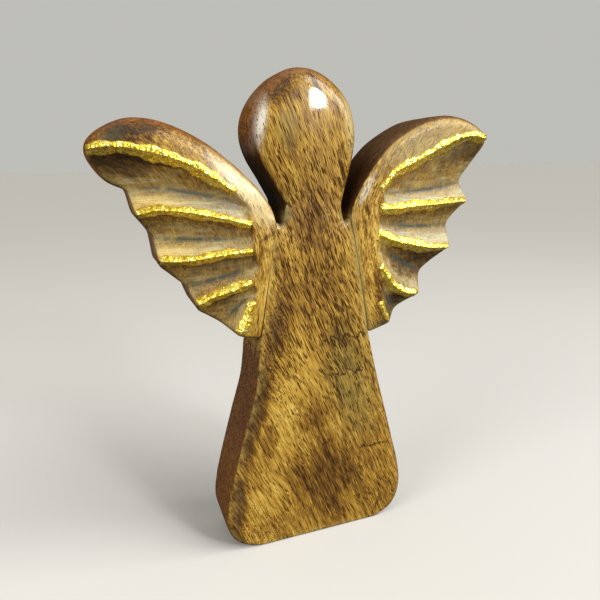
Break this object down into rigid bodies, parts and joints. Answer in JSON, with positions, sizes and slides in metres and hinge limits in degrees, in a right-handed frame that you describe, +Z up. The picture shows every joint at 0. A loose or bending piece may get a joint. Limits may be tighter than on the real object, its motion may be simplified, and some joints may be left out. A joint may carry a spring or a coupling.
{
  "type": "carved wooden figurine",
  "caption": "Carved wooden angel ornament with a plain teardrop head, A-line dress and spread ridged wings picked out in gold leaf; free-standing.",
  "frame": {"origin": "on the underside of the base, on the figure's centre plane and halfway through its thickness", "axes": "+Z up, +X to the viewer's right, +Y to the back; the carved front faces -Y"},
  "size_m": [0.1654, 0.0275, 0.199],
  "materials": {
    "body_wood": "oiled and polished open-pored hardwood, golden brown with dark figure",
    "wing_wood": "oiled hardwood with a pale wax left in the carved valleys",
    "dowel_wood": "plain turned dowel, unfinished",
    "gold_leaf": "bright crinkled gold leaf"
  },
  "bodies": {
    "root": {"body": "body_wood", "left_wing": "wing_wood", "right_wing": "wing_wood", "left_dowel_upper": "dowel_wood", "left_dowel_lower": "dowel_wood", "right_dowel_upper": "dowel_wood", "right_dowel_lower": "dowel_wood", "gold_leaf_left_1": "gold_leaf", "gold_leaf_left_2": "gold_leaf", "gold_leaf_left_3": "gold_leaf", "gold_leaf_left_4": "gold_leaf", "gold_leaf_left_5": "gold_leaf", "gold_leaf_right_1": "gold_leaf", "gold_leaf_right_2": "gold_leaf", "gold_leaf_right_3": "gold_leaf", "gold_leaf_right_4": "gold_leaf", "gold_leaf_right_5": "gold_leaf"}
  },
  "joints": []
}
